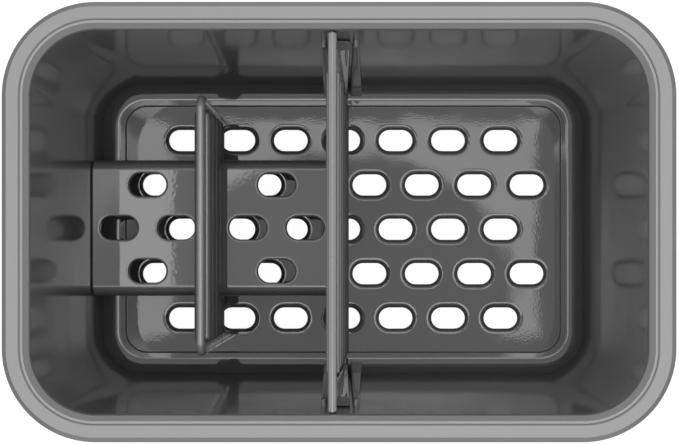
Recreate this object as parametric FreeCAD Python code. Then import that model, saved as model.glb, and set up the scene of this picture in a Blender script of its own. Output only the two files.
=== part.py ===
# Kitchen sink caddy: a drained tub with a lift-out centre divider, a sponge shelf and a short
# divider that straddles the shelf. Millimetres, +X along the long side, +Z up, origin on the
# surface that the feet stand on, under the middle of the tub.
import FreeCAD
import Part
import math
import os

Vector = FreeCAD.Vector

# Overrun of a cutting or joining solid past the face that it crosses.
overrun = 1.0

# Tub: rim
rim_length = 216.0
rim_width = 141.0
rim_corner_radius = 30.0
least_corner_radius = 2.0
rim_band = 8.8
rim_plate = 2.4
rim_lip_height = 9.0
rim_lip_thickness = 2.2
rim_edge_radius = 1.75
rim_step_inset = 5.5
rim_step_depth = 0.5
rim_inner_radius = 2.0

# Tub: walls and floor
inner_depth = 116.5
wall_thickness = 2.4
wall_draft = 5.4
floor_thickness = 3.2
floor_fillet = 6.4
base_edge_radius = 7.0
panel_step = 0.6
panel_bevel = 1.2

# Tub: drain slots, in staggered rows
drain_length = 13.4
drain_width = 8.4
drain_edge_radius = 2.2
drain_pitch = 20.95
drain_row_pitch = 17.74
drain_margin = 6.0

# Tub: two guide ribs on each long wall, with a tapered channel between them
guide_height = 98.4
guide_top_depth = 2.75
guide_bottom_depth = 4.0
guide_top_width = 1.8
guide_bottom_width = 4.7
guide_edge_radius = 0.5
channel_top_width = 8.8
channel_bottom_width = 5.8

# Gap between a lift-out piece and the walls beside it
fit_gap = 0.5

# Centre divider
divider_drop = 2.5
divider_lean = 2.4
divider_plate = 2.4
divider_bead_radius = 1.5
divider_rib_radius = 2.3
divider_rib_first = 1.5
divider_rib_pitch = 21.0
divider_rib_end = 9.0
runner_thickness = 3.0
runner_gap = 0.9
runner_edge_radius = 1.0
gusset_share = 0.96

# Sponge shelf
shelf_height = 26.4
shelf_width = 52.0
shelf_wall = 3.0
shelf_edge_radius = 4.2
shelf_slot_length = 14.3
shelf_slot_width = 8.8
shelf_slot_edge_radius = 0.9
shelf_group_offset = 24.6
shelf_diamond_length = 21.96
shelf_diamond_width = 32.9
groove_depth = 1.8
groove_gap = 0.3

# Sponge divider
sponge_divider_height = 67.6
sponge_divider_width = 92.4
sponge_divider_plate = 2.4
sponge_divider_corner_radius = 4.6
sponge_bead_radius = 1.6
sponge_rib_radius = 2.6
sponge_rib_first = 13.4
sponge_rib_pitch = 14.4
sponge_rib_end = 5.0
leg_gap = 0.6
saddle_corner_share = 0.3

# Feet
foot_height = 3.0
foot_radius = 6.5
foot_edge_radius = 0.8
foot_stem_radius = 2.5
foot_stem_length = 1.5
foot_stem_gap = 0.05

# Levels
base_level = foot_height
panel_level = base_level + floor_thickness - panel_step
floor_level = base_level + floor_thickness
rim_level = panel_level + inner_depth
guide_level = panel_level + guide_height
shelf_level = panel_level + shelf_height

# Insets from the rim's outer edge
wall_foot_inset = rim_band + wall_draft
panel_inset = wall_foot_inset + floor_fillet
stand_inset = panel_inset + panel_bevel


def wall_inset(level):
    """Inset of the inner wall face at a level, from its draft."""
    return rim_band + wall_draft * (rim_level - level) / (rim_level - floor_level)


def loop(half_x, half_y, radius, level, centre_x=0.0, centre_y=0.0):
    """Closed rounded rectangle in the plane of one level."""
    middle = radius * math.sqrt(0.5)
    edges = []
    corners = []
    for side_x, side_y in ((1, -1), (1, 1), (-1, 1), (-1, -1)):
        hub = Vector(centre_x + side_x * (half_x - radius), centre_y + side_y * (half_y - radius), level)
        along_x = hub + Vector(side_x * radius, 0, 0)
        along_y = hub + Vector(0, side_y * radius, 0)
        crown = hub + Vector(side_x * middle, side_y * middle, 0)
        ends = (along_y, along_x) if side_x * side_y < 0 else (along_x, along_y)
        corners.append((ends[0], crown, ends[1]))
    for index, (start, crown, end) in enumerate(corners):
        edges.append(Part.Arc(start, crown, end).toShape())
        edges.append(Part.makeLine(end, corners[(index + 1) % len(corners)][0]))
    return Part.Wire(edges)


def rim_loop(inset, level):
    """The rim's outline drawn in by an inset, with concentric corners."""
    radius = max(rim_corner_radius - inset, least_corner_radius)
    return loop(rim_length / 2 - inset, rim_width / 2 - inset, radius, level)


def rim_prism(inset, low, high):
    return Part.Face(rim_loop(inset, low)).extrude(Vector(0, 0, high - low))


def drafted(inset_shift, low, high):
    """Solid bounded by the inner wall faces, moved inwards by a shift."""
    wires = [rim_loop(wall_inset(level) + inset_shift, level) for level in (low, high)]
    return Part.makeLoft(wires, True, True)


def edges_at(shape, level, inside=None):
    """Edges that lie in one level, optionally within an X-Y box."""
    slack = overrun / 1000
    found = []
    for edge in shape.Edges:
        box = edge.BoundBox
        if abs(box.ZMin - level) > slack or abs(box.ZMax - level) > slack:
            continue
        if inside is None or inside(box):
            found.append(edge)
    return found


def cavity(inset_shift, low):
    """The tub's inner space down to a level, with the rounded foot of its walls."""
    space = drafted(inset_shift, low, rim_level + overrun)
    return space.makeFillet(floor_fillet, edges_at(space, low))


def standing_room():
    """Space that a lift-out piece may fill: clear of the walls, standing on the floor panel."""
    room = cavity(fit_gap, floor_level + fit_gap)
    seat = rim_prism(stand_inset + fit_gap, panel_level, floor_level + fit_gap + overrun)
    return room.fuse(seat)


def slot(length, width, x, y, low, high):
    """Upright prism of a round-ended slot that lies along X."""
    radius = width / 2
    straight = length / 2 - radius
    right = Vector(x + straight, y, low)
    left = Vector(x - straight, y, low)
    out = Vector(radius, 0, 0)
    side = Vector(0, radius, 0)
    edges = [
        Part.makeLine(left - side, right - side),
        Part.Arc(right - side, right + out, right + side).toShape(),
        Part.makeLine(right + side, left + side),
        Part.Arc(left + side, left - out, left - side).toShape(),
    ]
    return Part.Face(Part.Wire(edges)).extrude(Vector(0, 0, high - low))


def cut_slots(shape, places, length, width, low, high, radius):
    """Cut round-ended slots through a plate and round their upper edges."""
    tools = [slot(length, width, x, y, low - overrun, high + overrun) for x, y in places]
    holed = shape.cut(Part.makeCompound(tools))

    def in_a_slot(box):
        for x, y in places:
            near_x = abs((box.XMin + box.XMax) / 2 - x) < length / 2
            near_y = abs((box.YMin + box.YMax) / 2 - y) < width
            if near_x and near_y and box.XLength < length and box.YLength < length:
                return True
        return False

    return holed.makeFillet(radius, edges_at(holed, high, in_a_slot))


def drain_places():
    """Centres of the drain slots: as many staggered rows and columns as the panel holds."""
    free_x = rim_length - 2 * (panel_inset + drain_margin) - drain_length
    free_y = rim_width - 2 * (panel_inset + drain_margin) - drain_width
    columns = int(free_x // drain_pitch) + 1
    rows = int(free_y // drain_row_pitch) + 1
    places = []
    for row in range(rows):
        count = columns - 1 if row % 2 == 0 else columns
        y = (row - (rows - 1) / 2) * drain_row_pitch
        places += [((column - (count - 1) / 2) * drain_pitch, y) for column in range(count)]
    return places


def channel_half(level):
    """Half the clear width between two guide ribs at a level."""
    rise = (level - panel_level) / guide_height
    return (channel_bottom_width + (channel_top_width - channel_bottom_width) * rise) / 2


def guide_rib(side_x, side_y):
    """One tapered rib on a long wall, rooted in the wall and the floor."""
    wires = []
    ends = ((panel_level, guide_bottom_width, guide_bottom_depth), (guide_level, guide_top_width, guide_top_depth))
    for level, width, depth in ends:
        wall_y = rim_width / 2 - wall_inset(level)
        middle_x = side_x * (channel_half(level) + width / 2)
        face_y = wall_y - depth
        root_y = wall_y + wall_thickness
        middle_y = side_y * (face_y + root_y) / 2
        wires.append(loop(width / 2, (root_y - face_y) / 2, guide_edge_radius, level, middle_x, middle_y))
    root = wall_thickness / 4
    return Part.makeLoft(wires, True, True).common(cavity(-root, floor_level - root))


def foot_places():
    """Feet stand under the centres of the rim's corners."""
    x = rim_length / 2 - rim_corner_radius
    y = rim_width / 2 - rim_corner_radius
    return {
        "front_left_foot": (-x, -y),
        "front_right_foot": (x, -y),
        "rear_left_foot": (-x, y),
        "rear_right_foot": (x, y),
    }


def make_tub():
    """Rolled rim, drafted walls, drained floor panel and guide ribs, as one moulding."""
    outside = drafted(-wall_thickness, base_level, rim_level)
    outside = outside.makeFillet(base_edge_radius, edges_at(outside, base_level))
    lip_level = rim_level - rim_lip_height
    rim = rim_prism(0, lip_level, rim_level)
    rim = rim.makeFillet(rim_edge_radius, edges_at(rim, rim_level))
    hollow = rim_prism(rim_lip_thickness, lip_level - overrun, rim_level - rim_plate)
    body = outside.fuse(rim.cut(hollow)).removeSplitter()
    body = body.cut(rim_prism(rim_step_inset, rim_level - rim_step_depth, rim_level + overrun))
    body = body.cut(cavity(0, floor_level))
    ledge = rim_level - rim_step_depth
    reach_x = rim_length / 2 - wall_inset(ledge) + overrun
    reach_y = rim_width / 2 - wall_inset(ledge) + overrun

    def on_the_opening(box):
        return box.XMax < reach_x and box.XMin > -reach_x and box.YMax < reach_y and box.YMin > -reach_y

    body = body.makeFillet(rim_inner_radius, edges_at(body, ledge, on_the_opening))
    recess = [rim_loop(panel_inset, floor_level), rim_loop(stand_inset, panel_level)]
    body = body.cut(Part.makeLoft(recess, True, True))
    ribs = [guide_rib(side_x, side_y) for side_x in (-1, 1) for side_y in (-1, 1)]
    body = body.fuse(ribs)
    body = cut_slots(body, drain_places(), drain_length, drain_width, base_level, panel_level,
                     drain_edge_radius)
    for x, y in foot_places().values():
        body = body.cut(Part.makeCylinder(foot_stem_radius + foot_stem_gap, foot_stem_length + foot_stem_gap,
                                          Vector(x, y, base_level)))
    return body


def bar(radius, x, y_low, y_high, level):
    """Round bar along Y with domed ends."""
    rod = Part.makeCylinder(radius, y_high - y_low, Vector(x, y_low, level), Vector(0, 1, 0))
    ends = [Part.makeSphere(radius, Vector(x, y, level)) for y in (y_low, y_high)]
    return rod.fuse(ends)


def divider_top():
    """Level of the centre divider's bead axis."""
    return rim_level - divider_drop - divider_bead_radius


def panel_x(level):
    """Middle of the leaning panel at a level."""
    return -divider_lean * (level - panel_level) / (divider_top() - panel_level)


def runner_face(level):
    """Y of a runner's outer and inner face at a level."""
    outer = rim_width / 2 - wall_inset(level) - fit_gap
    return outer, outer - runner_thickness


def runner(side_y):
    """Tapered runner at one end of the centre divider, sliding between two guide ribs."""
    wires = []
    for level in (panel_level, guide_level):
        outer, inner = runner_face(level)
        half = channel_half(level) - runner_gap
        middle_y = side_y * (outer + inner) / 2
        wires.append(loop(half, runner_thickness / 2, runner_edge_radius, level, 0, middle_y))
    return Part.makeLoft(wires, True, True)


def gusset(side_y):
    """Concave web between the panel's open face and a runner, shrinking towards the floor."""
    wires = []
    for level in (panel_level, guide_level):
        inner = runner_face(level)[1]
        face_x = panel_x(level) + divider_plate / 2
        reach = gusset_share * (channel_half(level) - runner_gap - runner_edge_radius - face_x)
        sunk_x = panel_x(level)
        sunk_y = inner + runner_thickness / 2
        bulge = reach * (1 - math.sqrt(0.5))
        outline = [(face_x, inner - reach), (sunk_x, inner - reach), (sunk_x, sunk_y), (face_x + reach, sunk_y),
                   (face_x + reach, inner)]
        points = [Vector(x, side_y * y, level) for x, y in outline]
        edges = [Part.makeLine(start, end) for start, end in zip(points, points[1:])]
        crown = Vector(face_x + bulge, side_y * (inner - bulge), level)
        edges.append(Part.Arc(points[-1], crown, points[0]).toShape())
        wires.append(Part.Wire(edges))
    return Part.makeLoft(wires, True, True)


def make_centre_divider():
    """Leaning ribbed panel with a round top edge and two upright end runners."""
    top = divider_top()
    half = rim_width / 2
    plate = Part.makeBox(divider_plate, rim_width, top - panel_level + overrun,
                         Vector(-divider_plate / 2, -half, panel_level - overrun))
    bead = Part.makeCylinder(divider_bead_radius, rim_width, Vector(0, -half, top), Vector(0, 1, 0))
    rib_half = half - wall_foot_inset - divider_rib_end
    ribs = []
    level = panel_level + divider_rib_first
    while level < top - divider_rib_radius - divider_bead_radius:
        ribs.append(bar(divider_rib_radius, 0, -rib_half, rib_half, level))
        level += divider_rib_pitch
    panel = plate.fuse([bead] + ribs)
    lean = math.degrees(math.atan(divider_lean / (top - panel_level)))
    panel.rotate(Vector(0, 0, panel_level), Vector(0, 1, 0), -lean)
    ends = [make(side_y) for make in (runner, gusset) for side_y in (-1, 1)]
    return panel.fuse(ends).common(standing_room()).removeSplitter()


def bridge(half, top, radius, low, x_low, x_high):
    """Solid along X with two rounded upper edges."""
    bend = radius * (1 - math.sqrt(0.5))
    foot_right = Vector(x_low, half, low)
    shoulder_right = Vector(x_low, half, top - radius)
    crown_right = Vector(x_low, half - bend, top - bend)
    top_right = Vector(x_low, half - radius, top)
    top_left = Vector(x_low, radius - half, top)
    crown_left = Vector(x_low, bend - half, top - bend)
    shoulder_left = Vector(x_low, -half, top - radius)
    foot_left = Vector(x_low, -half, low)
    edges = [
        Part.makeLine(foot_right, shoulder_right),
        Part.Arc(shoulder_right, crown_right, top_right).toShape(),
        Part.makeLine(top_right, top_left),
        Part.Arc(top_left, crown_left, shoulder_left).toShape(),
        Part.makeLine(shoulder_left, foot_left),
        Part.makeLine(foot_left, foot_right),
    ]
    return Part.Face(Part.Wire(edges)).extrude(Vector(x_high - x_low, 0, 0))


def shelf_ends():
    """X of the shelf's two ends: beside the end wall, and clear of the leaning divider."""
    left = wall_inset(shelf_level) + fit_gap - rim_length / 2
    right = -divider_lean - max(divider_rib_radius, divider_bead_radius) - fit_gap
    return left, right


def shelf_middle():
    return sum(shelf_ends()) / 2


def shelf_slot_places():
    """Two diamonds of four slots, one each side of the short divider."""
    corners = ((shelf_diamond_length / 2, 0), (-shelf_diamond_length / 2, 0),
               (0, shelf_diamond_width / 2), (0, -shelf_diamond_width / 2))
    places = []
    for side in (-1, 1):
        middle = shelf_middle() + side * shelf_group_offset
        places += [(middle + x, y) for x, y in corners]
    return places


def make_sponge_shelf():
    """Slotted bridge that stands on the floor panel, grooved at its middle for the short divider."""
    left, right = shelf_ends()
    half = shelf_width / 2
    low = panel_level - overrun
    shell = bridge(half, shelf_level, shelf_edge_radius, low, left - overrun, right)
    inner_radius = max(shelf_edge_radius - shelf_wall, least_corner_radius)
    hollow = bridge(half - shelf_wall, shelf_level - shelf_wall, inner_radius, low - overrun,
                    left - 2 * overrun, right + overrun)
    shelf = shell.cut(hollow).common(standing_room())
    shelf = cut_slots(shelf, shelf_slot_places(), shelf_slot_length, shelf_slot_width,
                      shelf_level - shelf_wall, shelf_level, shelf_slot_edge_radius)
    groove_width = sponge_divider_plate + 2 * groove_gap
    for side in (-1, 1):
        y = half - groove_depth if side > 0 else -half - overrun
        groove = Part.makeBox(groove_width, groove_depth + overrun, shelf_height + 2 * overrun,
                              Vector(shelf_middle() - groove_width / 2, y, low))
        shelf = shelf.cut(groove)
    return shelf


def make_sponge_divider():
    """Short ribbed panel with a round edge, straddling the shelf in its two grooves."""
    middle = shelf_middle()
    foot = panel_level + leg_gap
    half = sponge_divider_width / 2 - sponge_bead_radius
    top = panel_level + sponge_divider_height - sponge_bead_radius
    radius = sponge_divider_corner_radius - sponge_bead_radius
    half_plate = sponge_divider_plate / 2
    plate = bridge(half, top, radius, foot, middle - half_plate, middle + half_plate)
    saddle_half = shelf_width / 2 - groove_depth + groove_gap
    saddle = bridge(saddle_half, shelf_level, saddle_corner_share * shelf_edge_radius, foot - overrun,
                    middle - sponge_rib_radius - overrun, middle + sponge_rib_radius + overrun)
    bend = radius * (1 - math.sqrt(0.5))
    path = Part.Wire([
        Part.makeLine(Vector(middle, -half, foot), Vector(middle, -half, top - radius)),
        Part.Arc(Vector(middle, -half, top - radius), Vector(middle, bend - half, top - bend),
                 Vector(middle, radius - half, top)).toShape(),
        Part.makeLine(Vector(middle, radius - half, top), Vector(middle, half - radius, top)),
        Part.Arc(Vector(middle, half - radius, top), Vector(middle, half - bend, top - bend),
                 Vector(middle, half, top - radius)).toShape(),
        Part.makeLine(Vector(middle, half, top - radius), Vector(middle, half, foot)),
    ])
    section = Part.Wire([Part.makeCircle(sponge_bead_radius, Vector(middle, -half, foot), Vector(0, 0, 1))])
    bead = path.makePipeShell([section], True, False)
    ribs = []
    level = panel_level + sponge_rib_first - sponge_rib_pitch
    while level < top - sponge_rib_radius - sponge_bead_radius:
        rib_half = half - sponge_rib_end
        ribs.append(bar(sponge_rib_radius, middle, -rib_half, rib_half, level))
        level += sponge_rib_pitch
    wide_saddle = bridge(shelf_width / 2 + fit_gap, shelf_level, least_corner_radius, foot - sponge_rib_pitch,
                         middle - sponge_rib_radius - overrun, middle + sponge_rib_radius + overrun)
    under = Part.makeBox(2 * sponge_rib_radius + 2 * overrun, sponge_divider_width, sponge_rib_pitch,
                         Vector(middle - sponge_rib_radius - overrun, -half, foot - sponge_rib_pitch))
    ribs = [rib.cut(wide_saddle).cut(under) for rib in ribs]
    return plate.cut(saddle).fuse([bead] + ribs).removeSplitter()


def make_foot(x, y):
    """Round rubber foot with a stem pressed into the floor."""
    pad = Part.makeCylinder(foot_radius, foot_height, Vector(x, y, 0))
    pad = pad.makeFillet(foot_edge_radius, edges_at(pad, 0))
    stem = Part.makeCylinder(foot_stem_radius, foot_stem_length, Vector(x, y, foot_height))
    return pad.fuse(stem).removeSplitter()


pieces = {
    "tub": make_tub(),
    "centre_divider": make_centre_divider(),
    "sponge_shelf": make_sponge_shelf(),
    "sponge_divider": make_sponge_divider(),
}
for name, (foot_x, foot_y) in foot_places().items():
    pieces[name] = make_foot(foot_x, foot_y)

os.makedirs("parts", exist_ok=True)
for name, shape in pieces.items():
    shape.exportStep(os.path.join("parts", name + ".step"))
    box = shape.BoundBox
    print(name, "solids", len(shape.Solids), "valid", shape.isValid(), "volume", round(shape.Volume, 1),
          "box", [round(value, 2) for value in (box.XMin, box.XMax, box.YMin, box.YMax, box.ZMin, box.ZMax)])
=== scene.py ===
import math
import bmesh
import bpy
import numpy as np
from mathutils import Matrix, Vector
from mathutils.geometry import delaunay_2d_cdt


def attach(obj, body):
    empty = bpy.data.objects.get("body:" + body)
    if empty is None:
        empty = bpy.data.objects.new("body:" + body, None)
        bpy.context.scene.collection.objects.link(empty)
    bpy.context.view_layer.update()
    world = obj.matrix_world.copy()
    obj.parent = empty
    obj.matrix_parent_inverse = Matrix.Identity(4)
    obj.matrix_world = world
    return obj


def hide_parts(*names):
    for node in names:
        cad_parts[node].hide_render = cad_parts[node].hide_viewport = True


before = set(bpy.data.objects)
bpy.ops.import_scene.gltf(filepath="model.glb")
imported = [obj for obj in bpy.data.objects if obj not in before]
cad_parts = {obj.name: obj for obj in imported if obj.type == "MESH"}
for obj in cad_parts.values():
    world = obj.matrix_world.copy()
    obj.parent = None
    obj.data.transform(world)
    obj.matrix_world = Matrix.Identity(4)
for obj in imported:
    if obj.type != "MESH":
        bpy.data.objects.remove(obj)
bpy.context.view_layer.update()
mm = 0.001

# tub sizes in millimetres; insets are measured inwards from the rim's outer edge, and a slot's mouth is the reach, dip
# and radius of its lead and the radius of its edge
tub = {
    "length": 216.0, "width": 141.0, "cornerRadius": 30.0,
    "standHeight": 3.0, "floorThickness": 3.2, "panelStep": 0.6, "panelBevel": 1.2, "depth": 116.5,
    "rimBand": 8.8, "draft": 4.8, "wall": 2.4, "floorFillet": 7.0, "baseEdge": 7.0,
    "rimPlate": 2.4, "lipHeight": 9.0, "lipWall": 2.2, "rimSlope": 1.7, "rimDrop": 1.5,
    "stepInset": 5.4, "stepWidth": 0.4, "stepDepth": 0.6, "crestDrop": 0.35, "crest": 6.8, "innerDrop": 2.6,
    "smallEdge": 0.25, "wallStep": 6.0, "sheetInset": 25.2, "ledgeRise": 0.09, "footCurve": 6.2,
    "slotLength": 13.4, "slotWidth": 8.4, "slotMouth": (2.0, 0.21, 6.0, 1.6), "slotPitch": 20.95, "rowPitch": 17.74,
    "rowCounts": (7, 8, 7, 8, 7), "slotApron": 0.1, "slotUnderEdge": 0.3,
    "guideHeight": 98.4, "guideTopDepth": 2.75, "guideBottomDepth": 4.0, "guideTop": 1.8, "guideBottom": 4.7,
    "guideEdge": 0.5, "guideCrown": 0.8, "guideLevels": 24, "channelTop": 8.8, "channelBottom": 5.8,
    "cornerSteps": 24, "longSteps": 20, "shortSteps": 12, "slotCornerSteps": 8, "slotSideSteps": 3,
}
tub["panelLevel"] = tub["standHeight"] + tub["floorThickness"] - tub["panelStep"]
tub["floorLevel"] = tub["standHeight"] + tub["floorThickness"]
tub["rimLevel"] = tub["panelLevel"] + tub["depth"]
fitGap = 0.5  # between a lift-out piece and the walls beside it
hair = 0.02  # least size of a mesh detail
crownSteps = 6  # rings that round the top of an upright bar
slack = 1e-6  # for comparing lengths


def wallInset(z):
    # inset of the drafted inner wall at height z, a straight line from foot to rim
    return tub["rimBand"] + tub["draft"] * (tub["rimLevel"] - z) / (tub["rimLevel"] - tub["floorLevel"])


def clearInset(z):
    # inset of the room for a lift-out piece: wall, then the fillet's quarter circle, then the panel's edge
    low = tub["floorLevel"] + fitGap
    radius = tub["floorFillet"]
    drop = np.clip(low + radius - z, 0, radius)
    bend = radius - np.sqrt(radius ** 2 - drop ** 2)
    stand = tub["rimBand"] + tub["draft"] + radius + tub["panelBevel"] + fitGap
    return np.where(z < low, stand, wallInset(np.maximum(z, low)) + fitGap + bend)


def roundedPath(points, radii, guard=0.04):
    # polyline whose inner corners become arcs of the given radii, with a guard point each side of an arc
    points = [np.array(point, float) for point in points]
    path = [points[0]]
    for before, corner, after, radius in zip(points, points[1:], points[2:], radii):
        steps = 10 if radius > 0.6 else 4  # more on the arcs that show
        toBefore = (before - corner) / np.linalg.norm(before - corner)
        toAfter = (after - corner) / np.linalg.norm(after - corner)
        half = 0.5 * math.acos(np.clip(toBefore @ toAfter, -1, 1))
        tangent = radius / math.tan(half)
        bisector = (toBefore + toAfter) / np.linalg.norm(toBefore + toAfter)
        centre = corner + bisector * radius / math.sin(half)
        start = corner + toBefore * tangent - centre
        end = corner + toAfter * tangent - centre
        first = math.atan2(start[1], start[0])
        sweep = (math.atan2(end[1], end[0]) - first + math.pi) % (2 * math.pi) - math.pi
        angles = first + sweep * np.linspace(0, 1, steps + 1)
        path.append(corner + toBefore * (tangent + guard))
        path.extend(centre + radius * np.stack((np.cos(angles), np.sin(angles)), 1))
        path.append(corner + toAfter * (tangent + guard))
    path.append(points[-1])
    return np.array(path)


def densify(path, step):
    # adds points along a polyline so that no straight run is longer than a step
    runs = np.linalg.norm(np.diff(path, axis=0), axis=1)
    along = np.concatenate(([0], np.cumsum(runs)))
    counts = np.maximum(np.ceil(runs / step).astype(int), 1)
    spans = [np.linspace(a, b, n, endpoint=False) for a, b, n in zip(along, along[1:], counts)]
    fine = np.concatenate(spans + [along[-1:]])
    return np.stack([np.interp(fine, along, path[:, axis]) for axis in (0, 1)], 1)


def ring(hubX, hubY, cornerSteps, stepsX, stepsY):
    # closed loop round a hub rectangle: hub points and outward unit normals, so a point is hub + reach * normal
    hubs, normals = [], []
    signs = ((1, 1), (-1, 1), (-1, -1), (1, -1))
    for quarter, (signX, signY) in enumerate(signs):
        angles = (quarter + np.arange(cornerSteps) / cornerSteps) * math.pi / 2
        hub = np.array((signX * hubX, signY * hubY))
        hubs.append(np.repeat(hub[None], cornerSteps, 0))
        normals.append(np.stack((np.cos(angles), np.sin(angles)), 1))
        nextX, nextY = signs[(quarter + 1) % 4]
        end = np.array((nextX * hubX, nextY * hubY))
        steps = stepsX if quarter % 2 == 0 else stepsY
        if np.linalg.norm(end - hub) > 0:
            share = np.arange(steps)[:, None] / steps
            turn = (quarter + 1) * math.pi / 2
            hubs.append(hub + (end - hub) * share)
            normals.append(np.repeat(np.array(((math.cos(turn), math.sin(turn)),)), steps, 0))
    return np.concatenate(hubs), np.concatenate(normals)


def sweepRing(loop, reach, height):
    # grid of rows (profile) by columns (round the loop): x, y = hub + reach * normal, z = height
    hubs, normals = loop
    flat = hubs[None] + np.asarray(reach)[:, None, None] * normals[None]
    tall = np.repeat(np.asarray(height)[:, None, None], flat.shape[1], 1)
    return np.concatenate((flat, tall), 2)


def gridPart(grid, closeRows=False, closeColumns=False):
    # quads between neighbouring rows and columns of a grid of points
    rows, columns = grid.shape[:2]
    index = np.arange(rows * columns).reshape(rows, columns)
    if closeRows:
        index = np.concatenate((index, index[:1]), 0)
    if closeColumns:
        index = np.concatenate((index, index[:, :1]), 1)
    quads = np.stack((index[:-1, :-1], index[:-1, 1:], index[1:, 1:], index[1:, :-1]), 2)
    return grid.reshape(-1, 3), quads.reshape(-1, 4).tolist()


def capPart(loop):
    # one face that closes a loop of points
    return loop, [list(range(len(loop)))]


def fillPart(outer, holes, height):
    # flat sheet at one height inside an outer loop and outside the hole loops, by constrained triangulation
    loops = [outer] + list(holes)
    starts = np.cumsum([0] + [len(loop) for loop in loops]).tolist()
    faces = [list(range(start, start + len(loop))) for start, loop in zip(starts, loops)]
    flat = [Vector(point) for point in np.concatenate(loops).tolist()]
    made = delaunay_2d_cdt(flat, [], faces, 1, slack)
    spots = np.array([tuple(point) for point in made[0]])
    level = np.full((len(spots), 1), height)
    kept = [list(face) for face, owners in zip(made[2], made[5]) if list(owners) == [0]]
    return np.concatenate((spots, level), 1), kept


def buildPiece(name, parts, body, sharpAngle=38, mergeGap=2e-6, sliver=1e-7):
    # joins parts given in millimetres into one mesh with outward faces and smooth shading, riding on its body
    corners, faces, start = [], [], 0
    for points, polygons in parts:
        corners.append(np.asarray(points, float) * mm)
        faces += [[start + i for i in polygon] for polygon in polygons]
        start += len(points)
    mesh = bpy.data.meshes.new(name)
    mesh.from_pydata(np.concatenate(corners).tolist(), [], faces)
    work = bmesh.new()
    work.from_mesh(mesh)
    bmesh.ops.remove_doubles(work, verts=work.verts, dist=mergeGap)
    bmesh.ops.dissolve_degenerate(work, edges=work.edges, dist=sliver)
    bmesh.ops.recalc_face_normals(work, faces=work.faces)
    openEdges = sum(1 for edge in work.edges if len(edge.link_faces) != 2)
    work.to_mesh(mesh)
    work.free()
    mesh.polygons.foreach_set("use_smooth", [True] * len(mesh.polygons))
    mesh.set_sharp_from_angle(angle=math.radians(sharpAngle))
    piece = bpy.data.objects.new(name, mesh)
    bpy.context.scene.collection.objects.link(piece)
    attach(piece, body)
    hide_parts(body)
    print("piece", name, "faces", len(mesh.polygons), "open edges", openEdges)
    return piece


def markSatinAndPaintedHighlight(piece, share):
    # stores a share per vertex, more than 0 on the crest of a piece, where the material gives a satin finish and a
    # painted highlight in a lighter grey; from a function of the corners in mm
    corners = np.empty(3 * len(piece.data.vertices))
    piece.data.vertices.foreach_get("co", corners)
    marks = piece.data.attributes.new("crest", "FLOAT", "POINT")
    marks.data.foreach_set("value", share(corners.reshape(-1, 3) / mm).astype(float))


def slotParts(places, length, width, mouth, underEdge, apron, top, bottom):
    # slot walls: a profile with a shallow lead and a rounded mouth carried round each slot, with its end loops
    reach, dip, leadRadius, edge = mouth
    half = width / 2
    start = half + reach + leadRadius * dip / reach / 2 + apron  # clear of the lead's arc
    points = [(start, top), (half + reach, top), (half, top - dip), (half, bottom), (half + underEdge + apron, bottom)]
    profile = roundedPath(points, [leadRadius, edge, underEdge])
    loop = ring(length / 2 - half, 0, tub["slotCornerSteps"], tub["slotSideSteps"], 1)
    grid = sweepRing(loop, profile[:, 0], profile[:, 1])
    parts, upper, lower = [], [], []
    for x, y in places:
        moved = grid + np.array((x, y, 0))
        parts.append(gridPart(moved, closeColumns=True))
        upper.append(moved[0, :, :2])
        lower.append(moved[-1, :, :2])
    return parts, upper, lower


def channelHalf(z):
    # half the room between two guide ribs at height z, a straight line from floor to top
    rise = (z - tub["panelLevel"]) / tub["guideHeight"]
    return 0.5 * (tub["channelBottom"] + (tub["channelTop"] - tub["channelBottom"]) * rise)


def uprightParts(z, centreX, centreY, halfX, halfY, edge, crown, tilt=0.0):
    # upright bar: rounded rectangles of changing place and size stacked over z, the last ones drawn in to a crown
    # and tilted so that the top falls towards the near wall
    turn = np.linspace(0, math.pi / 2, crownSteps + 1)[1:]
    levels = np.concatenate((z, z[-1] + crown * np.sin(turn)))
    drawn = np.concatenate((np.zeros(len(z)), crown * (1 - np.cos(turn))))[:, None]
    hubs, normals = ring(1, 1, 5, 1, 1)  # five steps round each corner
    centres = np.stack((centreX(levels), centreY(levels)), 1)
    sizes = np.maximum(np.stack((halfX(levels), halfY(levels)), 1) - drawn, hair)
    edges = np.minimum(edge, 0.9 * sizes.min(1))[:, None, None]  # never quite a full round
    flat = centres[:, None] + hubs[None] * (sizes[:, None] - edges) + edges * normals[None]
    share = np.concatenate((np.zeros(len(z)), np.linspace(0, 1, crownSteps + 1)[1:]))[:, None]
    tall = levels[:, None] - tilt * share * np.sign(centres[:, 1:]) * (flat[:, :, 1] - centres[:, 1:])
    grid = np.concatenate((flat, tall[:, :, None]), 2)
    return [gridPart(grid, closeColumns=True), capPart(grid[0]), capPart(grid[-1])]


def guideRib(signX, signY):
    # tapered rib sunk into a long wall, wider and deeper towards the floor, with a rounded top
    top = tub["panelLevel"] + tub["guideHeight"]

    def taper(z, low, high):
        return low + (high - low) * (z - tub["panelLevel"]) / tub["guideHeight"]

    def halfWidth(z):
        return 0.5 * taper(z, tub["guideBottom"], tub["guideTop"])

    def halfDepth(z):
        return tub["wall"] / 8 + 0.5 * taper(z, tub["guideBottomDepth"], tub["guideTopDepth"])

    def middleX(z):
        return signX * (channelHalf(z) + halfWidth(z))

    def middleY(z):
        return signY * (tub["width"] / 2 - wallInset(z) + tub["wall"] / 4 - halfDepth(z))

    levels = np.linspace(tub["floorLevel"], top - tub["guideCrown"], tub["guideLevels"])
    return uprightParts(levels, middleX, middleY, halfWidth, halfDepth, tub["guideEdge"], tub["guideCrown"])


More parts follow.
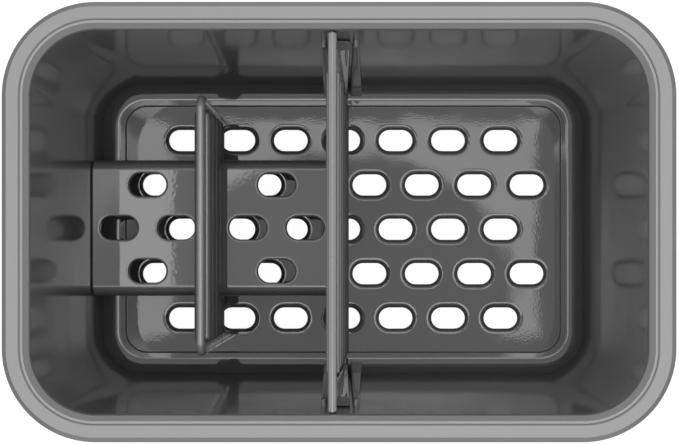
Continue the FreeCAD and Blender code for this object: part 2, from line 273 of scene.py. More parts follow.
def makeTub():
    # the wall is one profile (inset, height) carried round the rim's loop; flat sheets fill the floor
    radius = tub["cornerRadius"]
    loop = ring(tub["length"] / 2 - radius, tub["width"] / 2 - radius, tub["cornerSteps"], tub["longSteps"],
                tub["shortSteps"])
    rim = tub["rimLevel"]
    ledge = rim - tub["stepDepth"]
    lip = rim - tub["lipHeight"]
    foot = tub["rimBand"] + tub["draft"]
    stand = foot + tub["floorFillet"] + tub["panelBevel"]
    step = stand - tub["panelBevel"] / 2
    panel, floor, rise = tub["panelLevel"], tub["floorLevel"], tub["ledgeRise"]
    base = tub["standHeight"]
    outsideTop = wallInset(rim - tub["rimPlate"]) - tub["wall"]
    outsideFoot = wallInset(base) - tub["wall"]
    points = [
        (tub["sheetInset"], panel), (stand, panel), (step, floor - rise), (foot, floor),
        (wallInset(rim - tub["innerDrop"]), rim - tub["innerDrop"]), (tub["crest"], rim - tub["crestDrop"]),
        (tub["stepInset"] + tub["stepWidth"], ledge), (tub["stepInset"], rim), (tub["rimSlope"], rim),
        (0, rim - tub["rimDrop"]), (0, lip), (tub["lipWall"], lip), (tub["lipWall"], rim - tub["rimPlate"]),
        (outsideTop, rim - tub["rimPlate"]), (outsideFoot, base), (tub["sheetInset"], base),
    ]
    small = tub["smallEdge"]
    # a radius for each point between the ends
    radii = [small, small, tub["footCurve"], small * 7, small, small / 2, small / 2, small * 2,
             small * 3, small * 2, small * 2, small * 2, small * 2, tub["baseEdge"]]
    profile = densify(roundedPath(points, radii, hair), tub["wallStep"])
    wall = sweepRing(loop, radius - profile[:, 0], profile[:, 1])
    parts = [gridPart(wall, closeColumns=True)]
    places = []
    for row, count in enumerate(tub["rowCounts"]):
        y = (row - (len(tub["rowCounts"]) - 1) / 2) * tub["rowPitch"]
        places += [((column - (count - 1) / 2) * tub["slotPitch"], y) for column in range(count)]
    slots, upper, lower = slotParts(places, tub["slotLength"], tub["slotWidth"], tub["slotMouth"],
                                    tub["slotUnderEdge"], tub["slotApron"], tub["panelLevel"], base)
    parts += slots
    parts.append(fillPart(wall[0, :, :2], upper, tub["panelLevel"]))
    parts.append(fillPart(wall[-1, :, :2], lower, base))
    for signX in (-1, 1):
        for signY in (-1, 1):
            parts += guideRib(signX, signY)
    return buildPiece("sinkTub", parts, "tub")


tubPiece = makeTub()

# shelf on the floor panel; its left end follows the tub's end wall and the rounded foot of that wall
shelf = {
    "top": 32.0, "halfWidth": 26.0, "wall": 3.0, "edge": 3.95, "innerEdge": 1.5, "hemEdge": 0.4, "flatHalf": 22.0,
    "innerFlatHalf": 21.4, "right": -5.2, "middle": -49.65, "endBlend": 24.0, "endBevel": 0.5,
    "slotLength": 14.3, "slotWidth": 8.8, "slotMouth": (0.8, 0.16, 2.2, 0.5), "slotUnderEdge": 0.3, "slotApron": 0.1,
    "groupOffset": 24.6, "diamondLength": 21.96, "diamondWidth": 32.9,
    "grooveHalf": 1.5, "grooveDepth": 1.8, "columns": 40, "profileStep": 1.2, "bevelSegments": 3, "bevelAngle": 50,
}


def makeShelf():
    # a folded profile (y, z) carried along X on each side, joined by two slotted sheets and two end faces
    top, wall, half, low = shelf["top"], shelf["wall"], shelf["halfWidth"], tub["panelLevel"]
    points = [(shelf["flatHalf"], top), (half, top), (half, low), (half - wall, low), (half - wall, top - wall),
              (shelf["innerFlatHalf"], top - wall)]
    radii = [shelf["edge"], shelf["hemEdge"], shelf["hemEdge"], shelf["innerEdge"]]
    profile = densify(roundedPath(points, radii), shelf["profileStep"])
    left = float(clearInset(top)) - tub["length"] / 2
    grooveLow = shelf["middle"] - shelf["grooveHalf"]
    grooveHigh = shelf["middle"] + shelf["grooveHalf"]
    stops = np.unique(np.append(np.linspace(left, shelf["right"], shelf["columns"]), (grooveLow, grooveHigh)))
    before, after = stops[stops <= grooveLow], stops[stops >= grooveHigh]
    within = stops[(stops >= grooveLow) & (stops <= grooveHigh)]
    x = np.concatenate((before, within, after))
    widest = np.concatenate((np.full(len(before), half), np.full(len(within), half - shelf["grooveDepth"]),
                             np.full(len(after), half)))
    z = np.repeat(profile[:, 1:], len(x), 1)
    y = np.minimum(profile[:, :1], widest[None])
    fade = np.clip(1 - (x - left) / shelf["endBlend"], 0, 1)
    grid = np.stack((x[None] + (clearInset(z) - clearInset(top)) * fade[None], y, z), 2)
    mirrored = grid * np.array((1, -1, 1))
    parts = [gridPart(grid), gridPart(mirrored)]
    corners = ((0.5, 0), (-0.5, 0), (0, 0.5), (0, -0.5))
    places = [(shelf["middle"] + side * shelf["groupOffset"] + a * shelf["diamondLength"], b * shelf["diamondWidth"])
              for side in (-1, 1) for a, b in corners]
    slots, upper, lower = slotParts(places, shelf["slotLength"], shelf["slotWidth"], shelf["slotMouth"],
                                    shelf["slotUnderEdge"], shelf["slotApron"], top, top - wall)
    parts += slots
    for row, holes in ((0, upper), (-1, lower)):
        edge = np.unique(grid[row, :, 0])
        side = np.full(len(edge), grid[row, 0, 1])
        outer = np.concatenate((np.stack((edge, -side), 1), np.stack((edge, side), 1)[::-1]))
        parts.append(fillPart(outer, holes, grid[row, 0, 2]))
    for column in (0, -1):
        parts.append(capPart(np.concatenate((grid[:, column], mirrored[::-1, column]))))
    piece = buildPiece("spongeShelf", parts, "sponge_shelf")
    bevel = piece.modifiers.new("endEdges", "BEVEL")
    bevel.width = shelf["endBevel"] * mm
    bevel.segments = shelf["bevelSegments"]
    bevel.limit_method = "ANGLE"
    bevel.angle_limit = math.radians(shelf["bevelAngle"])
    return piece


shelfPiece = makeShelf()


def softMax(low, high, width):
    # the larger of two heights, with a fillet where they are within a width of each other
    return np.maximum(low, high) + np.maximum(width - np.abs(low - high), 0) ** 2 / (4 * width)


def barHeight(across, beyond, radius):
    # half-round bar with domed ends: root of radius^2 less the squared distances across it and beyond its end
    return np.sqrt(np.maximum(radius ** 2 - across ** 2 - beyond ** 2, 0))


def aroundBar(level, radius, steps=18):
    # heights that follow a round bar evenly by angle
    return level + radius * np.sin(np.linspace(-math.pi / 2, math.pi / 2, steps + 1))


# leaning centre divider; heights run up the panel from the floor panel, and columns out from its middle or in from its
# ends, close together where the ribs and the panel end
divider = {
    "height": 112.5, "lean": 2.2, "plate": 2.4, "beadRadius": 1.5, "ribRadius": 1.1, "ribFirst": 1.5,
    "ribPitch": 21.0, "ribCount": 6, "ribHalf": 48.2, "endEdge": 0.5, "rowStep": 1.5,
    "beadStart": -1.2, "beadSteps": 18, "beadBlend": 0.2, "satinAndPaintedHighlightDepth": 0.8, "satinAndPaintedHighlightShare": 0.3,
    "columns": (0, 15, 30, 42, 45, 46.5, 47.5, 48.2, 48.5, 48.75, 48.95, 49.1, 49.2, 49.27, 49.3, 49.7, 50.2, 51),
    "endColumns": (8, 4, 1.5, 0.5, 0.42, 0.3, 0.17, 0.08, 0.02, 0),
    "runner": 3.0, "runnerGap": 0.9, "runnerEdge": 1.0, "runnerCrown": 0.2, "runnerTilt": 0.4, "runnerLow": 7.7,
    "runnerLevels": 40, "gussetShare": 0.96, "gussetDrop": 0.6, "gussetBend": 4, "gussetSteps": 10,
}


def gussetPart(signY, levels):
    # concave web: a quarter circle between the panel's face and the runner, stacked over levels that slope at the top
    inner = tub["width"] / 2 - wallInset(levels) - fitGap - divider["runner"]
    middle = -divider["lean"] * (levels - tub["panelLevel"]) / divider["height"]
    face = middle + divider["plate"] / 2
    reach = divider["gussetShare"] * (channelHalf(levels) - divider["runnerGap"] - divider["runnerEdge"] - face)
    turn = np.linspace(0, math.pi / 2, divider["gussetSteps"] + 1)
    arcX = (face + reach)[:, None] - reach[:, None] * np.sin(turn)[None]
    arcY = (inner - reach)[:, None] + reach[:, None] * np.cos(turn)[None]
    sunk = inner + divider["runner"] / 2
    x = np.concatenate((arcX, middle[:, None], middle[:, None], (face + reach)[:, None]), 1)
    y = np.concatenate((arcY, (inner - reach)[:, None], sunk[:, None], sunk[:, None]), 1)
    rise = (levels - levels[0]) / (levels[-1] - levels[0])
    z = levels[:, None] - divider["gussetDrop"] * rise[:, None] ** divider["gussetBend"] * (sunk[:, None] - y)
    grid = np.stack((x, signY * y, z), 2)
    return [gridPart(grid, closeColumns=True), capPart(grid[0]), capPart(grid[-1])]


def runnerParts(signY, levels):
    # tapered upright between two guide ribs, thinner where the tub's rounded foot takes its room
    def outer(z):
        return tub["width"] / 2 - clearInset(z)

    def inner(z):
        return tub["width"] / 2 - wallInset(z) - fitGap - divider["runner"]

    def middleX(z):
        return np.zeros(len(z))

    def middleY(z):
        return signY * (outer(z) + inner(z)) / 2

    def halfX(z):
        return channelHalf(z) - divider["runnerGap"]

    def halfY(z):
        return np.maximum((outer(z) - inner(z)) / 2, hair)

    return uprightParts(levels, middleX, middleY, halfX, halfY, divider["runnerEdge"], divider["runnerCrown"],
                        divider["runnerTilt"])


def makeCentreDivider():
    # half thickness is a function of height and y: plate, bars and a bead that blends in; both faces lean together
    height, radius, bead = divider["height"], divider["ribRadius"], divider["beadRadius"]
    levels = divider["ribFirst"] + divider["ribPitch"] * np.arange(divider["ribCount"])
    rolled = np.linspace(divider["beadStart"], math.pi / 2, divider["beadSteps"])
    rows = np.concatenate([np.arange(0, height - bead, divider["rowStep"]), height + bead * np.sin(rolled)]
                          + [aroundBar(level, radius) for level in levels])
    h = np.unique(np.round(rows[rows >= 0], 4))[:, None]
    lean = math.atan(divider["lean"] / height)
    longest = tub["width"] / 2 - clearInset(tub["panelLevel"] + h * math.cos(lean))
    fixed, fromEnd = np.array(divider["columns"]), np.array(divider["endColumns"])
    right = np.concatenate((np.minimum(fixed[None], longest - fromEnd[0]), longest - fromEnd[None]), 1)
    y = np.concatenate((-right[:, :0:-1], right), 1)
    beyond = np.maximum(np.abs(y) - divider["ribHalf"], 0)
    half = divider["plate"] / 2 + np.max([barHeight(h - level, beyond, radius) for level in levels], 0)
    crown = barHeight(h - height, 0, bead)
    half = np.where(h > height - bead, softMax(half, crown, divider["beadBlend"]), half)
    half = np.where(h > height, crown, half)
    edge = divider["endEdge"]
    past = np.clip((np.abs(y) - longest + edge) / edge, 0, 1)
    half = half * np.sqrt(1 - past ** 2)
    sides = []
    for side in (1, -1):
        x = side * half * math.cos(lean) - h * math.sin(lean)
        z = tub["panelLevel"] + h * math.cos(lean) + side * half * math.sin(lean)
        sides.append(np.stack((x, y, np.maximum(z, tub["panelLevel"] + hair)), 2))
    parts = [gridPart(np.concatenate((sides[0], sides[1][::-1])), closeRows=True)]
    runnerTop = tub["panelLevel"] + tub["guideHeight"] - divider["runnerCrown"]
    upright = np.linspace(divider["runnerLow"], runnerTop, divider["runnerLevels"])
    for signY in (-1, 1):
        parts += runnerParts(signY, upright)
        parts += gussetPart(signY, upright)
    piece = buildPiece("centreDivider", parts, "centre_divider")
    crestLow = tub["panelLevel"] + height - divider["satinAndPaintedHighlightDepth"] * bead
    # the bead's top gets a share of the satin finish and of the painted highlight
    markSatinAndPaintedHighlight(piece, lambda corners: divider["satinAndPaintedHighlightShare"] * (corners[:, 2] > crestLow))
    return piece


dividerPiece = makeCentreDivider()

# short divider that straddles the shelf in its grooves
saddle = {
    "middle": -49.65, "foot": 6.2, "top": 73.2, "halfWidth": 46.2, "corner": 4.6, "plate": 2.4, "beadRadius": 1.6,
    "ribRadius": 2.0, "ribLevels": (4.6, 19.0, 33.4, 47.8, 62.2), "ribHalf": 39.9,
    "seat": 32.0, "legInside": 24.5, "ribClear": 26.5, "rowStep": 1.5, "beadTurn": 2.6, "beadSteps": 16,
    "beadBlend": 0.2, "satinAndPaintedHighlightDepth": 1.8, "columns": (0, 9, 18, 29, 32, 35, 38),
    "ribEndColumns": (0, 0.5, 1.0, 1.4, 1.7, 1.88, 2.0),
}


def saddleHalf(y, z):
    # half thickness over the panel: plate, bars, and a bead that is round in the distance from the panel's outline
    reach, corner, bead = saddle["halfWidth"], saddle["corner"], saddle["beadRadius"]
    overY = np.maximum(np.abs(y) - (reach - corner), 0)
    overZ = np.maximum(z - (saddle["top"] - corner), 0)
    straight = np.minimum(reach - np.abs(y), saddle["top"] - z)
    inside = np.where((overY > 0) & (overZ > 0), corner - np.hypot(overY, overZ), straight)
    beyond = np.maximum(np.abs(y) - saddle["ribHalf"], 0)
    bars = np.max([barHeight(z - level, beyond, saddle["ribRadius"]) for level in saddle["ribLevels"]], 0)
    bars = np.where((z < saddle["seat"]) & (np.abs(y) < saddle["ribClear"]), 0, bars)
    half = saddle["plate"] / 2 + bars
    crown = np.sqrt(np.maximum(bead ** 2 - (np.maximum(inside, 0) - bead) ** 2, 0))
    return np.where(inside < bead, crown, np.where(inside < 2 * bead, softMax(half, crown, saddle["beadBlend"]), half))


def makeSpongeDivider():
    # grids over height and y for the panel above the shelf and for each leg, doubled to two faces by saddleHalf
    reach, corner, bead, seat = saddle["halfWidth"], saddle["corner"], saddle["beadRadius"], saddle["seat"]
    rolled = bead - bead * np.cos(np.linspace(0, saddle["beadTurn"], saddle["beadSteps"]))
    plain = np.arange(saddle["foot"], saddle["top"] - 2 * saddle["rowStep"], saddle["rowStep"])
    rows = np.concatenate([plain, saddle["top"] - rolled, (saddle["foot"], seat, seat - 2.5 * hair)]
                          + [aroundBar(level, saddle["ribRadius"]) for level in saddle["ribLevels"]])
    z = np.unique(np.round(rows[(rows >= saddle["foot"]) & (rows <= saddle["top"])], 4))[:, None]
    stops = (saddle["legInside"], saddle["ribClear"] - hair, saddle["ribClear"] + hair)
    ribEnd = saddle["ribHalf"] + np.array(saddle["ribEndColumns"])
    outward = np.concatenate((saddle["columns"], stops, ribEnd, reach - rolled))
    share = np.unique(np.round(outward, 4)) / reach
    rise = np.clip(z - (saddle["top"] - corner), 0, corner)
    widest = reach - corner + np.sqrt(corner ** 2 - rise ** 2)

    def faces(part, columns):
        zz = np.repeat(part, len(columns), 1)
        yy = columns[None] * widest[(z >= part[0]) & (z <= part[-1])][:, None]
        half = saddleHalf(yy, zz)
        return [np.stack((saddle["middle"] + side * half, yy, zz), 2) for side in (1, -1)]

    upper = faces(z[z[:, 0] >= seat], np.concatenate((-share[:0:-1], share)))
    parts = [gridPart(side) for side in upper]
    across = np.abs(upper[0][0, :, 1]) <= saddle["legInside"] + slack
    parts.append(gridPart(np.stack((upper[0][0, across], upper[1][0, across]))))
    legColumns = share[share * reach >= saddle["legInside"] - slack]
    for signY in (-1, 1):
        leg = faces(z[z[:, 0] <= seat], signY * legColumns)
        parts += [gridPart(side) for side in leg]
        parts.append(gridPart(np.stack((leg[0][0], leg[1][0]))))
        parts.append(gridPart(np.stack((leg[0][:, 0], leg[1][:, 0]))))
    piece = buildPiece("spongeDivider", parts, "sponge_divider")
    # the bead's top gets the satin finish and the painted highlight
    markSatinAndPaintedHighlight(piece, lambda corners: corners[:, 2] > saddle["top"] - saddle["satinAndPaintedHighlightDepth"] * bead)
    return piece


saddlePiece = makeSpongeDivider()

# camera straight above the caddy; the shift puts the lens axis where the photograph's verticals meet
viewpoint = {
    "imageWidth": 679, "imageHeight": 445, "axisPixel": (359.7, 258.3), "focalPixels": 1461.0,
    "place": (6.6, -11.6, 588.0), "sensor": 36.0, "clipStart": 0.01,
}


def makeCamera():
    lens = bpy.data.cameras.new("overheadCamera")
    lens.sensor_width = viewpoint["sensor"]
    lens.lens = viewpoint["focalPixels"] * viewpoint["sensor"] / viewpoint["imageWidth"]
    lens.shift_x = (viewpoint["imageWidth"] / 2 - viewpoint["axisPixel"][0]) / viewpoint["imageWidth"]
    lens.shift_y = (viewpoint["axisPixel"][1] - viewpoint["imageHeight"] / 2) / viewpoint["imageWidth"]
    lens.clip_start = viewpoint["clipStart"]
    camera = bpy.data.objects.new("overheadCamera", lens)
    camera.location = [value * mm for value in viewpoint["place"]]
    bpy.context.scene.collection.objects.link(camera)
    bpy.context.scene.camera = camera


makeCamera()
print("camera placed")


def addNode(tree, kind, **values):
    # makes a node; a value goes to the socket of that name, and otherwise to the node's own setting
    node = tree.nodes.new(kind)
    for key, value in values.items():
        if key in node.inputs:
            node.inputs[key].default_value = value
        else:
            setattr(node, key, value)
    return node


def feed(tree, target, value):
    # links an output to a socket, or sets a plain number or colour on it
    if isinstance(value, bpy.types.NodeSocket):
        tree.links.new(value, target)
    else:
        target.default_value = value


def maths(tree, operation, *values, clamp=False):
    # Math node fed with numbers or outputs
    node = addNode(tree, "ShaderNodeMath", operation=operation, use_clamp=clamp)
    for target, value in zip(node.inputs, values):
        feed(tree, target, value)
    return node.outputs[0]


def scaled(tree, first, second):
    return maths(tree, "MULTIPLY", first, second)


def added(tree, first, second):
    return maths(tree, "ADD", first, second)


def mixValue(tree, factor, low, high):
    # blend of two numbers or outputs by a factor
    node = addNode(tree, "ShaderNodeMix", data_type="FLOAT")
    for place, value in ((0, factor), (2, low), (3, high)):
        feed(tree, node.inputs[place], value)
    return node.outputs[0]


def mixColour(tree, factor, low, high):
    # blend of two colours or outputs by a factor
    node = addNode(tree, "ShaderNodeMix", data_type="RGBA")
    for place, value in ((0, factor), (6, low), (7, high)):
        feed(tree, node.inputs[place], value)
    return node.outputs[2]


def smoothStep(tree, socket, low, high, kind="SMOOTHSTEP"):
    # smooth step of a value, from 0 at one limit to 1 at the other
    step = addNode(tree, "ShaderNodeMapRange", interpolation_type=kind)
    for label, value in (("Value", socket), ("From Min", low), ("From Max", high)):
        feed(tree, step.inputs[label], value)
    return step.outputs[0]


def edgeStep(tree, socket, edge, soft):
    # smooth step of a value across an edge; a negative softness turns it round
    return smoothStep(tree, socket, edge - soft, edge + soft)


def axes(tree, kind):
    # X, Y and Z of a kind of texture coordinate
    split = addNode(tree, "ShaderNodeSeparateXYZ")
    tree.links.new(addNode(tree, "ShaderNodeTexCoord").outputs[kind], split.inputs[0])
    return split.outputs


def newMaterial(name):
    material = bpy.data.materials.new(name)
    material.use_nodes = True
    tree = material.node_tree
    tree.nodes.clear()
    return material, tree, addNode(tree, "ShaderNodeOutputMaterial")


# the stage: paper that is white to the camera, dim in reflections and keeps the shadow, under a sky of soft lights;
# the lights' limits are slopes of the ray, sideways over upwards
stage = {
    "size": 3.0, "level": -0.0002, "paper": (0.6, 0.6, 0.6, 1),
    "openGlow": 0.78, "underGlow": 0.96, "mirrorGlow": 0.07, "underHalf": (0.092, 0.055), "underSoft": 0.005,
    "skyGlow": 0.98, "skySteps": ((0.0, 0.76), (0.45, 0.72), (0.7, 0.544), (0.86, 0.448)), "leastRise": 0.001,
    "boxLow": (-0.186, -0.054), "boxHigh": (0.121, 0.094), "boxSoft": 0.0015, "boxStrength": 0.88,
    "barLow": -0.128, "barHigh": -0.105,
    "frameLow": (-0.186, -0.075), "frameHigh": (0.138, 0.128), "framePlace": (0.015, -0.02),
    "frameSize": (0.275, 0.205), "frameSoft": 0.12, "frameStrength": 1.36,
    "lensPlace": (-0.012, -0.02), "lensSize": (0.118, 0.093), "lensSoft": 0.12,
}


def makeStage():
    # paper that adds a glow to its shading where the camera sees it, more under the tub than round it
    edge = stage["size"] / 2
    corners = [(x * edge, y * edge, stage["level"]) for x, y in ((-1, -1), (1, -1), (1, 1), (-1, 1))]
    mesh = bpy.data.meshes.new("studioFloor")
    mesh.from_pydata(corners, [], [(0, 1, 2, 3)])
    floor = bpy.data.objects.new("studioFloor", mesh)
    bpy.context.scene.collection.objects.link(floor)
    material, tree, output = newMaterial("studioPaper")
    spot = axes(tree, "Object")
    under = [edgeStep(tree, maths(tree, "ABSOLUTE", spot[axis]), half, -stage["underSoft"])
             for axis, half in zip("XY", stage["underHalf"])]
    glow = mixValue(tree, scaled(tree, *under), stage["openGlow"], stage["underGlow"])
    path = addNode(tree, "ShaderNodeLightPath").outputs
    direct = maths(tree, "MAXIMUM", path["Is Camera Ray"], path["Is Transmission Ray"])
    mirrored = scaled(tree, path["Is Glossy Ray"], stage["mirrorGlow"])
    lit = addNode(tree, "ShaderNodeEmission")
    feed(tree, lit.inputs["Strength"], maths(tree, "MAXIMUM", scaled(tree, direct, glow), mirrored))
    paper = addNode(tree, "ShaderNodeBsdfDiffuse", Color=stage["paper"])
    both = addNode(tree, "ShaderNodeAddShader")
    for target, shader in zip(both.inputs, (paper, lit)):
        tree.links.new(shader.outputs[0], target)
    tree.links.new(both.outputs[0], output.inputs["Surface"])
    mesh.materials.append(material)


def makeSky():
    # a ramp over the ray's height, with softboxes beside the lens and a frame of light round them
    sky = bpy.data.worlds.new("studioSky")
    sky.use_nodes = True
    bpy.context.scene.world = sky
    tree = sky.node_tree
    tree.nodes.clear()
    ray = axes(tree, "Generated")
    ramp = addNode(tree, "ShaderNodeValToRGB")
    steps = ramp.color_ramp.elements
    while len(steps) < len(stage["skySteps"]):
        steps.new(0.5)
    for step, (reach, strength) in zip(steps, stage["skySteps"]):
        step.position = reach
        step.color = (strength, strength, strength, 1)
    tree.links.new(ray["Z"], ramp.inputs[0])
    rise = maths(tree, "MAXIMUM", ray["Z"], stage["leastRise"])
    slopes = [maths(tree, "DIVIDE", ray[axis], rise) for axis in "XY"]
    soft = stage["boxSoft"]

    def within(low, high):
        # 1 where both slopes lie between two corners, with soft edges
        sides = [scaled(tree, edgeStep(tree, slope, start, soft), edgeStep(tree, slope, end, -soft))
                 for slope, start, end in zip(slopes, low, high)]
        return scaled(tree, *sides)

    def beyond(place, size, edge):
        # 1 outside an ellipse of slopes and 0 inside it: squared distances from its middle, each over its own radius
        parts = []
        for slope, middle, radius in zip(slopes, place, size):
            part = maths(tree, "MULTIPLY_ADD", slope, 1 / radius, -middle / radius)
            parts.append(scaled(tree, part, part))
        return edgeStep(tree, added(tree, *parts), 1.0, edge)

    clear = beyond(stage["lensPlace"], stage["lensSize"], stage["lensSoft"])
    leftBox = edgeStep(tree, slopes[0], stage["barLow"], -soft)
    rightBox = scaled(tree, clear, edgeStep(tree, slopes[0], stage["barHigh"], soft))
    boxes = scaled(tree, within(stage["boxLow"], stage["boxHigh"]), maths(tree, "MAXIMUM", leftBox, rightBox))
    ellipse = beyond(stage["framePlace"], stage["frameSize"], -stage["frameSoft"])
    edging = maths(tree, "SUBTRACT", ellipse, within(stage["frameLow"], stage["frameHigh"]), clamp=True)
    lamps = added(tree, scaled(tree, boxes, stage["boxStrength"]), scaled(tree, edging, stage["frameStrength"]))
    seen = addNode(tree, "ShaderNodeLightPath").outputs["Is Camera Ray"]
    light = addNode(tree, "ShaderNodeBackground", Color=(1, 1, 1, 1))
    feed(tree, light.inputs["Strength"], mixValue(tree, seen, added(tree, ramp.outputs[0], lamps), stage["skyGlow"]))
    tree.links.new(light.outputs[0], addNode(tree, "ShaderNodeOutputWorld").inputs["Surface"])


makeStage()
makeSky()
bpy.context.scene.view_settings.view_transform = "Standard"
print("stage and sky made")


def newGroup(name, inputs, outputs):
    # shader node group with named float sockets; returns its tree, what it is given and what it puts out
    tree = bpy.data.node_groups.new(name, "ShaderNodeTree")
    for labels, way in ((inputs, "INPUT"), (outputs, "OUTPUT")):
        for label in labels:
            tree.interface.new_socket(label, in_out=way, socket_type="NodeSocketFloat")
    return tree, addNode(tree, "NodeGroupInput").outputs, addNode(tree, "NodeGroupOutput").inputs


def makeMouldSkin():
    # skin of a moulding: fine orange peel, slow waves left by cooling, and a faint cloud of pigment
    labels = ("Peel", "Wave", "Cloud")
    tree, given, result = newGroup("mouldSkin", [label + " Scale" for label in labels], labels)
    spot = addNode(tree, "ShaderNodeTexCoord").outputs["Object"]
    for label, detail in zip(labels, (0.0, 1.0, 3.0)):
        noise = addNode(tree, "ShaderNodeTexNoise", Detail=detail, Roughness=0.5)
        tree.links.new(spot, noise.inputs["Vector"])
        tree.links.new(given[label + " Scale"], noise.inputs["Scale"])
        tree.links.new(noise.outputs["Fac"], result[label])
    return tree


# a spot's soft edge, and the band of noise over which a patch begins to have spots
driedSpots = {"edge": (0.34, 0.3), "patch": (0.52, 0.66)}


def makeDriedDrops():
    # spots left by dried drops: 1 near scattered cell centres, kept in a few patches
    tree, given, result = newGroup("driedDrops", ("Drop Scale", "Patch Scale"), ("Marks",))
    spot = addNode(tree, "ShaderNodeTexCoord").outputs["Object"]
    cells = addNode(tree, "ShaderNodeTexVoronoi", Randomness=1.0)
    patch = addNode(tree, "ShaderNodeTexNoise", Detail=1.0)
    for pattern, label in ((cells, "Drop Scale"), (patch, "Patch Scale")):
        tree.links.new(spot, pattern.inputs["Vector"])
        tree.links.new(given[label], pattern.inputs["Scale"])
    spots = smoothStep(tree, cells.outputs["Distance"], *driedSpots["edge"], "SMOOTHERSTEP")
    few = smoothStep(tree, patch.outputs["Fac"], *driedSpots["patch"])
    tree.links.new(scaled(tree, spots, few), result["Marks"])
    return tree


def makeRimInset():
    # millimetres inwards from the rim's outer edge: corner radius less the distance from the hub rectangle
    tree, _, result = newGroup("rimInset", (), ("Inset",))
    radius = tub["cornerRadius"]
    hub = ((tub["length"] / 2 - radius) * mm, (tub["width"] / 2 - radius) * mm, 0)
    place = addNode(tree, "ShaderNodeTexCoord").outputs["Object"]
    for operation, amount in (("ABSOLUTE", None), ("SUBTRACT", hub), ("MAXIMUM", (0, 0, 0)), ("MULTIPLY", (1, 1, 0))):
        node = addNode(tree, "ShaderNodeVectorMath", operation=operation)
        tree.links.new(place, node.inputs[0])
        if amount:
            node.inputs[1].default_value = amount
        place = node.outputs[0]
    length = addNode(tree, "ShaderNodeVectorMath", operation="LENGTH")
    tree.links.new(place, length.inputs[0])
    inset = maths(tree, "MULTIPLY_ADD", length.outputs["Value"], -1 / mm, radius)
    tree.links.new(inset, result["Inset"])
    return tree


mouldSkin = makeMouldSkin()
driedDrops = makeDriedDrops()
rimInset = makeRimInset()


def placeGroup(tree, group, **scales):
    # puts a group into a material with its own scales
    node = addNode(tree, "ShaderNodeGroup", node_tree=group)
    for label, value in scales.items():
        node.inputs[label + " Scale"].default_value = value
    return node.outputs


def heightMask(tree, level, offsets):
    # 0 below and 1 above two heights of the piece, given as offsets from a level, with a smooth step between
    low, high = offsets
    return smoothStep(tree, axes(tree, "Object")["Z"], (level + low) * mm, (level + high) * mm)


def newPlastic(name):
    # material with one Principled shader; returns that shader's sockets too
    material, tree, output = newMaterial(name)
    shader = addNode(tree, "ShaderNodeBsdfPrincipled")
    tree.links.new(shader.outputs[0], output.inputs["Surface"])
    return material, tree, shader.inputs


def addRelief(tree, shader, height, distance):
    bump = addNode(tree, "ShaderNodeBump", Strength=1.0, Distance=distance)
    tree.links.new(height, bump.inputs["Height"])
    tree.links.new(bump.outputs[0], shader["Normal"])


# grey moulding: polished inside the tub, satin on the rim, fine orange peel on the floor, with a painted shade line in
# the rim's dip and a painted highlight line on its inner crest; masks are offsets in millimetres from the rim or the
# floor panel, bands are insets from the rim's outer edge
tubFinish = {
    "skin": {"Peel": 1450.0, "Wave": 60.0, "Cloud": 25.0}, "drops": {"Drop": 110.0, "Patch": 14.0},
    "dark": (0.28, 0.28, 0.281, 1), "light": (0.32, 0.32, 0.321, 1), "rim": (0.57, 0.57, 0.573, 1),
    # crest is the colour of a painted highlight line, dip the colour of a painted shade line
    "crest": (0.68, 0.68, 0.683, 1), "crestBand": (6.15, 6.85), "dip": (0.3, 0.3, 0.301, 1), "dipBand": (5.6, 6.05),
    "rimMask": (-0.75, -0.55), "rimSoft": 0.1, "paintedShadeAndHighlightMask": (-1.2, -1.0), "paintedShadeAndHighlightSoft": 0.08, "floorMask": (0.9, 3.0),
    "metallic": 0.42, "rimMetallic": 0.2,
    "wallRoughness": 0.1, "floorRoughness": 0.015, "rimRoughness": 0.36, "marksRoughness": 0.01,
    "peel": 0.17, "wave": 3.0, "rimPeel": 0.3, "wallPeel": 0.06, "bumpDistance": 1.2e-5,
}


def makeTubPlastic():
    finish = tubFinish
    material, tree, shader = newPlastic("tubPlastic")
    skin = placeGroup(tree, mouldSkin, **finish["skin"])
    drops = placeGroup(tree, driedDrops, **finish["drops"])
    inset = placeGroup(tree, rimInset)["Inset"]
    onRim = heightMask(tree, tub["rimLevel"], finish["rimMask"])
    onRim = scaled(tree, onRim, edgeStep(tree, inset, tub["rimSlope"], finish["rimSoft"]))
    onRim = scaled(tree, onRim, edgeStep(tree, inset, tub["crest"], -finish["rimSoft"]))
    aboveFloor = heightMask(tree, tub["panelLevel"], finish["floorMask"])
    colour = mixColour(tree, skin["Cloud"], finish["dark"], finish["light"])
    colour = mixColour(tree, onRim, colour, finish["rim"])
    nearTop = heightMask(tree, tub["rimLevel"], finish["paintedShadeAndHighlightMask"])
    for paintedShadeOrHighlight in ("dip", "crest"):  # painted shade: a darker line in the rim's dip; painted highlight: a lighter line on its inner crest
        low, high = finish[paintedShadeOrHighlight + "Band"]
        # band of the rim where the painted shade or painted highlight line goes
        paintedShadeOrHighlightBand = scaled(tree, edgeStep(tree, inset, low, finish["paintedShadeAndHighlightSoft"]),
                      edgeStep(tree, inset, high, -finish["paintedShadeAndHighlightSoft"]))
        colour = mixColour(tree, scaled(tree, nearTop, paintedShadeOrHighlightBand), colour, finish[paintedShadeOrHighlight])
    tree.links.new(colour, shader["Base Color"])
    tree.links.new(mixValue(tree, onRim, finish["metallic"], finish["rimMetallic"]), shader["Metallic"])
    gloss = mixValue(tree, aboveFloor, finish["floorRoughness"], finish["wallRoughness"])
    gloss = mixValue(tree, onRim, gloss, finish["rimRoughness"])
    marked = added(tree, gloss, scaled(tree, drops["Marks"], finish["marksRoughness"]))
    tree.links.new(marked, shader["Roughness"])
    peel = mixValue(tree, aboveFloor, finish["peel"], finish["wallPeel"])
    peel = scaled(tree, skin["Peel"], mixValue(tree, onRim, peel, finish["rimPeel"]))
    addRelief(tree, shader, added(tree, peel, scaled(tree, skin["Wave"], finish["wave"])), finish["bumpDistance"])
    return material
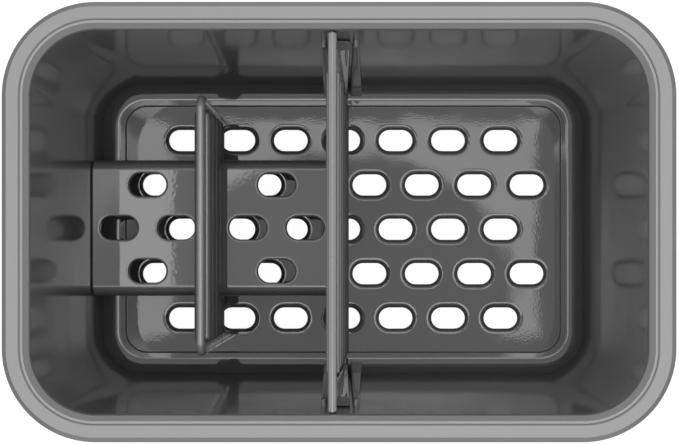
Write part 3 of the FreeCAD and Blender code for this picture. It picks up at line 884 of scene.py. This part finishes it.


# the lift-out pieces: the same grey, polished, with a softer peel and a satin crest that carries a painted highlight
# in a lighter grey
insertFinish = {
    "skin": {"Peel": 800.0, "Wave": 55.0, "Cloud": 35.0}, "drops": {"Drop": 130.0, "Patch": 18.0},
    # crest is the lighter grey of a painted highlight on the bead tops
    "dark": (0.35, 0.35, 0.351, 1), "light": (0.39, 0.39, 0.391, 1), "crest": (0.66, 0.66, 0.662, 1), "metallic": 0.42,
    "roughness": (0.02, 0.03), "crestRoughness": 0.3, "marksRoughness": 0.01,
    "peel": 0.2, "wave": 1.5, "bumpDistance": 1.2e-5,
}


def makeInsertPlastic():
    finish = insertFinish
    material, tree, shader = newPlastic("insertPlastic")
    shader["Metallic"].default_value = finish["metallic"]
    skin = placeGroup(tree, mouldSkin, **finish["skin"])
    drops = placeGroup(tree, driedDrops, **finish["drops"])
    crest = addNode(tree, "ShaderNodeAttribute", attribute_name="crest").outputs["Fac"]
    colour = mixColour(tree, skin["Cloud"], finish["dark"], finish["light"])
    # painted highlight: the crest's lighter grey on the bead tops; its roughness is the satin finish
    tree.links.new(mixColour(tree, crest, colour, finish["crest"]), shader["Base Color"])
    gloss = mixValue(tree, crest, mixValue(tree, skin["Cloud"], *finish["roughness"]), finish["crestRoughness"])
    marked = added(tree, gloss, scaled(tree, drops["Marks"], finish["marksRoughness"]))
    tree.links.new(marked, shader["Roughness"])
    relief = added(tree, scaled(tree, skin["Peel"], finish["peel"]), scaled(tree, skin["Wave"], finish["wave"]))
    addRelief(tree, shader, relief, finish["bumpDistance"])
    return material


# black rubber of the feet
footFinish = {
    "skin": {"Peel": 1500.0, "Wave": 200.0, "Cloud": 150.0}, "dark": (0.018, 0.018, 0.018, 1),
    "dusty": (0.05, 0.05, 0.048, 1), "roughness": (0.6, 0.8), "bumpDistance": 4e-5,
}


def makeFootRubber():
    finish = footFinish
    material, tree, shader = newPlastic("footRubber")
    skin = placeGroup(tree, mouldSkin, **finish["skin"])
    tree.links.new(mixColour(tree, skin["Cloud"], finish["dark"], finish["dusty"]), shader["Base Color"])
    tree.links.new(mixValue(tree, skin["Wave"], *finish["roughness"]), shader["Roughness"])
    addRelief(tree, shader, skin["Peel"], finish["bumpDistance"])
    return material


tubPiece.data.materials.append(makeTubPlastic())
insertPlastic = makeInsertPlastic()
for piece in (shelfPiece, dividerPiece, saddlePiece):
    piece.data.materials.append(insertPlastic)
footRubber = makeFootRubber()
for foot in ("front_left_foot", "front_right_foot", "rear_left_foot", "rear_right_foot"):
    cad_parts[foot].data.materials.clear()
    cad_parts[foot].data.materials.append(footRubber)
print("materials made")
